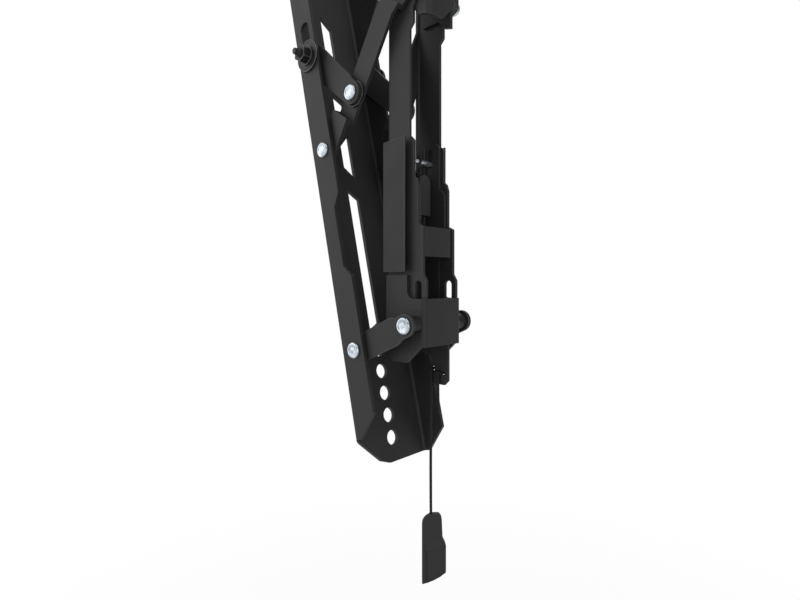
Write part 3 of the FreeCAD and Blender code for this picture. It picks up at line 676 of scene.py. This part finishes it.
def dressHardware(node, body, width):
    name = pieceName(node)
    slotName = recordSlots[node]
    mesh = brokenEdges(name, node, edgeSettings, width, finishes[slotName])
    piece = newPiece(name, mesh, body)
    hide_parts(node)


for body, kinds in hardwareSettings["sided"].items():
    for kind in kinds:
        for node in bothSides(kind):
            dressHardware(node, body, hardwareSettings["edgeWidth"])
for body, kinds in hardwareSettings["single"].items():
    for node in kinds:
        dressHardware(node, body, hardwareSettings["edgeWidth"])
print("hardware dressed")


# Rivets, pins and studs: turned parts, one Geometry Nodes tree for each profile

def treeNode(tree, kind, inputs=None, **settings):
    node = addNode(tree, kind, **settings)
    for key, value in (inputs or {}).items():
        if isinstance(value, bpy.types.NodeSocket):
            tree.links.new(value, node.inputs[key])
        else:
            node.inputs[key].default_value = value
    return node


def curveOf(tree, factor, values):
    # a value read along the profile, straight between its corners
    node = treeNode(tree, "ShaderNodeFloatCurve", {"Value": factor})
    curve = node.mapping.curves[0]
    last = len(values) - 1
    for k, value in enumerate(values):
        if k in (0, last):
            point = curve.points[0 if k == 0 else -1]
            point.location = (k / last, value)
        else:
            point = curve.points.new(k / last, value)
        point.handle_type = "VECTOR"
    node.mapping.update()
    return node.outputs[0]


def newTree(name, inputs):
    tree = bpy.data.node_groups.new(name, "GeometryNodeTree")
    for title, kind in (("Geometry", "NodeSocketGeometry"), *inputs, ("Finish", "NodeSocketMaterial")):
        tree.interface.new_socket(name=title, in_out="INPUT", socket_type=kind)
    tree.interface.new_socket(name="Geometry", in_out="OUTPUT", socket_type="NodeSocketGeometry")
    return tree, tree.nodes.new("NodeGroupInput"), tree.nodes.new("NodeGroupOutput")


def coatAndEnd(tree, made, start, end):
    real = treeNode(tree, "GeometryNodeRealizeInstances", {0: made.outputs[0]})
    coated = treeNode(tree, "GeometryNodeSetMaterial", {
        "Geometry": real.outputs[0],
        "Material": start.outputs["Finish"],
    })
    tree.links.new(coated.outputs[0], end.inputs[0])


turnedSettings = {
    "sides": 40,
    "mergeDistance": 0.002,
    "shortEdge": 0.001,
    "sharpDegrees": 34,
}


def makeTurnedTree(name, profile, settings):
    # a grid rolled round the part's axis: its columns go round, its rows follow the profile
    tree, start, end = newTree(name, [
        ("Radius", "NodeSocketFloat"),
        ("Length", "NodeSocketFloat"),
        ("Sides", "NodeSocketInt"),
    ])
    widest = max(r for r, h in profile)
    longest = max(h for r, h in profile)
    around = mathNode(tree, "ADD", start.outputs["Sides"], 1)
    grid = treeNode(tree, "GeometryNodeMeshGrid", {"Vertices X": around, "Vertices Y": len(profile)})
    where = treeNode(tree, "GeometryNodeInputPosition")
    split = treeNode(tree, "ShaderNodeSeparateXYZ", {0: where.outputs[0]})
    angle = mathNode(tree, "MULTIPLY", mathNode(tree, "ADD", split.outputs[0], 0.5), 2 * math.pi)
    row = mathNode(tree, "ADD", split.outputs[1], 0.5)
    radii = curveOf(tree, row, [r / widest for r, h in profile])
    heights = curveOf(tree, row, [h / longest for r, h in profile])
    reach = mathNode(tree, "MULTIPLY", radii, start.outputs["Radius"])
    height = mathNode(tree, "MULTIPLY", heights, start.outputs["Length"])
    turned = treeNode(tree, "ShaderNodeCombineXYZ", {
        0: mathNode(tree, "MULTIPLY", reach, mathNode(tree, "COSINE", angle)),
        1: mathNode(tree, "MULTIPLY", reach, mathNode(tree, "SINE", angle)),
        2: height,
    })
    shaped = treeNode(tree, "GeometryNodeSetPosition", {
        "Geometry": grid.outputs["Mesh"],
        "Position": turned.outputs[0],
    })
    closed = treeNode(tree, "GeometryNodeMergeByDistance", {
        "Geometry": shaped.outputs[0],
        "Distance": settings["mergeDistance"] * mm,
    })
    turn = treeNode(tree, "GeometryNodeInputNamedAttribute", {"Name": "turn"}, data_type="FLOAT_VECTOR")
    placed = treeNode(tree, "GeometryNodeInstanceOnPoints", {
        "Points": start.outputs["Geometry"],
        "Instance": closed.outputs[0],
        "Rotation": turn.outputs[0],
    })
    coatAndEnd(tree, placed, start, end)
    return tree


def setInput(modifier, title, value):
    for item in modifier.node_group.interface.items_tree:
        if item.item_type == "SOCKET" and item.in_out == "INPUT" and item.name == title:
            modifier[item.identifier] = value


def pointMesh(name, places):
    # one point for each place, with the turn that points the part's axis outwards
    mesh = bpy.data.meshes.new(name)
    mesh.from_pydata([place for place, side in places], [], [])
    turn = mesh.attributes.new("turn", "FLOAT_VECTOR", "POINT")
    for k, (place, side) in enumerate(places):
        turn.data[k].vector = (0.0, side * math.pi / 2, 0.0)
    return mesh


def cleanShell(mesh, settings):
    build = bmesh.new()
    build.from_mesh(mesh)
    bmesh.ops.remove_doubles(build, verts=build.verts, dist=settings["mergeDistance"] * mm)
    bmesh.ops.dissolve_degenerate(build, edges=build.edges, dist=settings["shortEdge"] * mm)
    bmesh.ops.recalc_face_normals(build, faces=build.faces)
    build.to_mesh(mesh)
    build.free()


def turnedMesh(name, places, profile, finish, sides, settings=turnedSettings):
    # the profile's places are pairs of radius and height above the part's foot
    carrier = bpy.data.objects.new(name + "Points", pointMesh(name + "Points", places))
    bpy.context.scene.collection.objects.link(carrier)
    modifier = carrier.modifiers.new("turned", "NODES")
    modifier.node_group = makeTurnedTree(name + "Tree", profile, settings)
    setInput(modifier, "Radius", max(r for r, h in profile) * mm)
    setInput(modifier, "Length", max(h for r, h in profile) * mm)
    setInput(modifier, "Sides", sides)
    setInput(modifier, "Finish", finish)
    mesh = bakedMesh(carrier, name)
    carrier.modifiers.remove(modifier)
    bpy.data.objects.remove(carrier)
    cleanShell(mesh, settings)
    smoothFaces(mesh, settings["sharpDegrees"])
    return mesh


def addFinish(mesh, finish, fits):
    # the faces that fit take a second finish
    mesh.materials.append(finish)
    for face in mesh.polygons:
        if fits(abs(face.center.x) / mm):
            face.material_index = len(mesh.materials) - 1


def turnedParts(name, body, nodeNames, profile, finish, innerFinish=None, innerReach=0.0):
    places = []
    base = min(h for r, h in profile)
    for node in nodeNames:
        low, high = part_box(node)
        side = 1 if low[0] + high[0] > 0 else -1
        places.append(((side * base * mm, (low[1] + high[1]) / 2, (low[2] + high[2]) / 2), side))
    profile = [(r, h - base) for r, h in profile]
    mesh = turnedMesh(name, places, profile, finish, turnedSettings["sides"])
    if innerFinish:
        addFinish(mesh, innerFinish, lambda x: x < innerReach)
    piece = newPiece(name, mesh, body)
    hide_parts(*nodeNames)


rivetSettings = {
    "headRadius": 5.0,
    "headHeight": 1.7,
    "shankRadius": 3.0,
    "dish": [(0.98, 0.0), (1.0, 0.14), (1.0, 0.5), (0.96, 0.76), (0.88, 0.95), (0.8, 1.0), (0.7, 0.98),
             (0.62, 0.84), (0.55, 0.76), (0.3, 0.78), (0.12, 0.82), (0.0, 0.83)],
    "flange": 31.0,
    "linkOut": 27.85,
    "tailIn": 23.55,
    "tailOut": 25.25,
    "armIn": 19.5,
    "braceOut": 26.75,
    "channel": 15.2,
    "tails": [("railRivets", "rail_rivet", 5.0), ("footPins", "foot_pin", 6.0)],
    "tailBevel": (0.5, 0.4),
    "blackReach": 0.02,
}


def headProfile(settings, face):
    radius = settings["headRadius"]
    height = settings["headHeight"]
    return [(radius * r, face + height * h) for r, h in settings["dish"]]


def makeRivets(settings):
    shank = settings["shankRadius"]
    flange = settings["flange"]
    tailIn = settings["tailIn"]
    tailOut = settings["tailOut"]
    inwards, along = settings["tailBevel"]
    blackEnd = tailOut + settings["blackReach"]
    for name, kind, tail in settings["tails"]:
        profile = [(0.0, tailIn), (tail - inwards, tailIn), (tail, tailIn + along), (tail, tailOut)]
        profile += [(shank, tailOut), (shank, flange)] + headProfile(settings, flange)
        turnedParts(name, "tv_rail", bothSides(kind), profile, brightZinc, blackZinc, blackEnd)
    profile = [(0.0, settings["armIn"]), (shank, settings["armIn"]), (shank, settings["braceOut"])]
    turnedParts("middleRivets", "upper_arms", bothSides("middle_rivet"),
                profile + headProfile(settings, settings["braceOut"]), brightZinc)
    profile = [(0.0, settings["channel"]), (shank, settings["channel"]), (shank, settings["linkOut"])]
    turnedParts("lowerRivets", "wall_bracket", bothSides("lower_rivet"),
                profile + headProfile(settings, settings["linkOut"]), brightZinc)


makeRivets(rivetSettings)
print("rivets made")


studSettings = {
    "radius": 3.0,
    "start": 24.2,
    "end": 43.0,
    "threadStart": 33.0,
    "pitch": 1.0,
    "depth": 0.32,
    "dogRadius": 2.1,
    "dogLength": 1.6,
    "taper": 0.6,
    "tipBevel": 0.3,
}


def studProfile(settings):
    radius = settings["radius"]
    tip = settings["dogRadius"]
    end = settings["end"]
    bevel = settings["tipBevel"]
    taperEnd = end - settings["dogLength"]
    stop = taperEnd - settings["taper"]
    profile = [(0.0, settings["start"]), (radius, settings["start"])]
    x = settings["threadStart"]
    while x < stop - settings["pitch"]:
        profile += [(radius, x), (radius - settings["depth"], x + settings["pitch"] / 2)]
        x += settings["pitch"]
    return profile + [(radius, x), (tip, taperEnd), (tip, end - bevel), (tip - bevel, end), (0.0, end)]


studNodes = bothSides("tension_stud")
turnedParts("tensionStuds", "brace_links", studNodes, studProfile(studSettings), blackZinc)
print("studs made")


postSettings = {
    "inner": 15.2,
    "outer": 18.2,
    "shankRadius": 2.0,
    "headRadius": 3.4,
    "headHeight": 0.8,
    "headBevel": 0.2,
    "brightReach": 0.05,
    "sides": 32,
    "place": (-18.0, (98.0, 70.5)),
}


def makeStripPosts(settings):
    # each post node holds two posts, so their places are written here
    y, heights = settings["place"]
    face = settings["outer"] - settings["headHeight"]
    shank = settings["shankRadius"]
    head = settings["headRadius"]
    bevel = settings["headBevel"]
    base = settings["inner"]
    outer = settings["outer"]
    profile = [(0.0, base), (shank, base), (shank, face), (head - bevel, face)]
    profile += [(head, face + bevel), (head, outer), (0.0, outer)]
    profile = [(r, h - base) for r, h in profile]
    places = [((side * base * mm, y * mm, z * mm), side) for side in (1, -1) for z in heights]
    mesh = turnedMesh("stripPosts", places, profile, blackZinc, settings["sides"])
    addFinish(mesh, brightZinc, lambda x: x > face - settings["brightReach"])
    piece = newPiece("stripPosts", mesh, "wall_bracket")
    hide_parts(*bothSides("strip_posts"))


makeStripPosts(postSettings)
print("strip posts made")


# Latch spring: a wound coil, hooked over the fixed pin above and under the slide's tongue below

springSettings = {
    "axis": (-20.0, 69.0),
    "top": 92.0,
    "turns": 15.5,
    "radius": 2.35,
    "wire": 0.55,
    "pinHeight": 99.0,
    "shelf": 65.0,
    "stepsPerTurn": 24,
    "wireSides": 10,
    "pinHookSteps": 12,
    "elbowDrop": 1.0,
    "tongueHookRadius": 1.5,
    "tongueHookDrop": 0.5,
    "tongueHookSteps": 8,
    "sharpDegrees": 60,
}


def makeSpringTree(settings):
    tree, start, end = newTree("springTree", [
        ("Turns", "NodeSocketFloat"),
        ("Coil Radius", "NodeSocketFloat"),
        ("Coil Height", "NodeSocketFloat"),
        ("Wire Radius", "NodeSocketFloat"),
    ])
    coil = treeNode(tree, "GeometryNodeCurveSpiral", {
        "Resolution": settings["stepsPerTurn"],
        "Rotations": start.outputs["Turns"],
        "Start Radius": start.outputs["Coil Radius"],
        "End Radius": start.outputs["Coil Radius"],
        "Height": start.outputs["Coil Height"],
    })
    section = treeNode(tree, "GeometryNodeCurvePrimitiveCircle", {
        "Resolution": settings["wireSides"],
        "Radius": start.outputs["Wire Radius"],
    })
    wires = []
    for path in (coil.outputs[0], start.outputs["Geometry"]):
        wires.append(treeNode(tree, "GeometryNodeCurveToMesh", {
            "Curve": path,
            "Profile Curve": section.outputs[0],
            "Fill Caps": True,
        }))
    both = treeNode(tree, "GeometryNodeJoinGeometry")
    for wire in wires:
        tree.links.new(wire.outputs[0], both.inputs[0])
    coatAndEnd(tree, both, start, end)
    return tree


def springHooks(settings):
    # the wire's two hooks, counted from the coil's lower end
    low = settings["axis"][1]
    radius = settings["radius"]
    pin = settings["pinHeight"] - low
    upper = [(radius, 0.0, settings["top"] - low)]
    for k in range(settings["pinHookSteps"] + 1):
        angle = math.pi * k / settings["pinHookSteps"]
        upper.append((0.0, radius * math.cos(angle), pin + radius * math.sin(angle)))
    bend = settings["tongueHookRadius"]
    start = settings["shelf"] - low - settings["tongueHookDrop"]
    lower = [(radius, 0.0, 0.0), (0.0, radius, -settings["elbowDrop"]), (0.0, radius, start)]
    for k in range(1, settings["tongueHookSteps"] + 1):
        angle = math.pi * k / settings["tongueHookSteps"]
        lower.append((0.0, radius - bend + bend * math.cos(angle), start - bend * math.sin(angle)))
    return upper, lower


def makeSpring(settings):
    y, low = settings["axis"]
    data = bpy.data.curves.new("springHooks", "CURVE")
    data.dimensions = "3D"
    for places in springHooks(settings):
        spline = data.splines.new("POLY")
        spline.points.add(len(places) - 1)
        for point, place in zip(spline.points, places):
            point.co = (*[value * mm for value in place], 1.0)
    carrier = bpy.data.objects.new("springHooks", data)
    bpy.context.scene.collection.objects.link(carrier)
    modifier = carrier.modifiers.new("wound", "NODES")
    modifier.node_group = makeSpringTree(settings)
    setInput(modifier, "Turns", settings["turns"])
    setInput(modifier, "Coil Radius", settings["radius"] * mm)
    setInput(modifier, "Coil Height", (settings["top"] - low) * mm)
    setInput(modifier, "Wire Radius", settings["wire"] * mm)
    setInput(modifier, "Finish", blackZinc)
    mesh = bakedMesh(carrier, "latchSpring")
    bpy.data.objects.remove(carrier)
    for vertex in mesh.vertices:
        vertex.co += Vector((0.0, y * mm, low * mm))
    smoothFaces(mesh, settings["sharpDegrees"])
    spring = newPiece("latchSpring", mesh, "wall_bracket")
    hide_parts("latch_spring")


makeSpring(springSettings)
print("spring made")


# Studio: pale floor, white surroundings for the camera, soft lamps

studioSettings = {
    "floorHeight": -0.32,
    "floorSize": 12.0,
    "floorColour": (0.9, 0.9, 0.9, 1.0),
    "floorRoughness": 0.9,
    "worldColour": (1.0, 1.0, 1.0, 1.0),
    "worldStrength": 0.42,
    "lampAim": (-0.03, -0.04, 0.08),
    "lamps": [
        {"name": "leftLamp", "place": (0.88, -0.81, 0.5), "size": (1.3, 1.4), "power": 9.2},
        {"name": "wallLamp", "place": (1.3, 1.35, 0.15), "size": (1.6, 0.9), "power": 9.0},
        {"name": "topLamp", "place": (0.1, 0.65, 1.3), "size": (1.2, 1.2), "power": 8.0},
        {"name": "backLamp", "place": (-1.6, -0.9, 1.0), "size": (1.4, 1.4), "power": 12.0},
    ],
    "shadowReach": (0.25, 0.6),
    "glowShare": (0.85, 1.0),
}


def makeFloorMaterial(settings):
    # the shadow shows near the object, and the floor turns plain white further off
    material = bpy.data.materials.new("paleFloor")
    material.use_nodes = True
    tree = material.node_tree
    shader = tree.nodes["Principled BSDF"]
    shader.inputs["Base Color"].default_value = settings["floorColour"]
    shader.inputs["Roughness"].default_value = settings["floorRoughness"]
    glow = addNode(tree, "ShaderNodeEmission")
    rays = addNode(tree, "ShaderNodeLightPath")
    seen = mathNode(tree, "MAXIMUM", rays.outputs["Is Camera Ray"], rays.outputs["Is Glossy Ray"])
    seen = mathNode(tree, "MAXIMUM", seen, rays.outputs["Is Transmission Ray"])
    place = addNode(tree, "ShaderNodeTexCoord")
    flat = addNode(tree, "ShaderNodeVectorMath", operation="MULTIPLY")
    flat.inputs[1].default_value = (1.0, 1.0, 0.0)
    tree.links.new(place.outputs["Object"], flat.inputs[0])
    reach = addNode(tree, "ShaderNodeVectorMath", operation="LENGTH")
    tree.links.new(flat.outputs["Vector"], reach.inputs[0])
    share = addNode(tree, "ShaderNodeMapRange", interpolation_type="SMOOTHSTEP")
    tree.links.new(reach.outputs["Value"], share.inputs["Value"])
    limits = (*settings["shadowReach"], *settings["glowShare"])
    for title, value in zip(("From Min", "From Max", "To Min", "To Max"), limits):
        share.inputs[title].default_value = value
    mix = addNode(tree, "ShaderNodeMixShader")
    tree.links.new(mathNode(tree, "MULTIPLY", seen, share.outputs["Result"]), mix.inputs[0])
    tree.links.new(shader.outputs[0], mix.inputs[1])
    tree.links.new(glow.outputs[0], mix.inputs[2])
    tree.links.new(mix.outputs[0], tree.nodes["Material Output"].inputs["Surface"])
    return material


def makeFloor(settings):
    half = settings["floorSize"] / 2
    height = settings["floorHeight"]
    corners = [(x * half, y * half, height) for x, y in ((-1, -1), (1, -1), (1, 1), (-1, 1))]
    mesh = bpy.data.meshes.new("floor")
    mesh.from_pydata(corners, [], [(0, 1, 2, 3)])
    mesh.materials.append(makeFloorMaterial(settings))
    floor = bpy.data.objects.new("floor", mesh)
    bpy.context.scene.collection.objects.link(floor)


def makeWorld(settings):
    world = bpy.data.worlds.new("studioWorld")
    bpy.context.scene.world = world
    world.use_nodes = True
    tree = world.node_tree
    rays = addNode(tree, "ShaderNodeLightPath")
    seen = mathNode(tree, "MAXIMUM", rays.outputs["Is Camera Ray"], rays.outputs["Is Transmission Ray"])
    strength = settings["worldStrength"]
    level = mathNode(tree, "ADD", mathNode(tree, "MULTIPLY", seen, 1.0 - strength), strength)
    background = tree.nodes["Background"]
    background.inputs["Color"].default_value = settings["worldColour"]
    tree.links.new(level, background.inputs["Strength"])


def makeLamp(settings, aim):
    data = bpy.data.lights.new(settings["name"], "AREA")
    data.shape = "RECTANGLE"
    data.size, data.size_y = settings["size"]
    data.energy = settings["power"]
    lamp = bpy.data.objects.new(settings["name"], data)
    bpy.context.scene.collection.objects.link(lamp)
    lamp.location = settings["place"]
    lamp.rotation_euler = (Vector(aim) - lamp.location).to_track_quat("-Z", "Y").to_euler()


makeFloor(studioSettings)
makeWorld(studioSettings)
for lampSettings in studioSettings["lamps"]:
    makeLamp(lampSettings, studioSettings["lampAim"])
bpy.context.scene.view_settings.view_transform = "Standard"
print("studio lit")
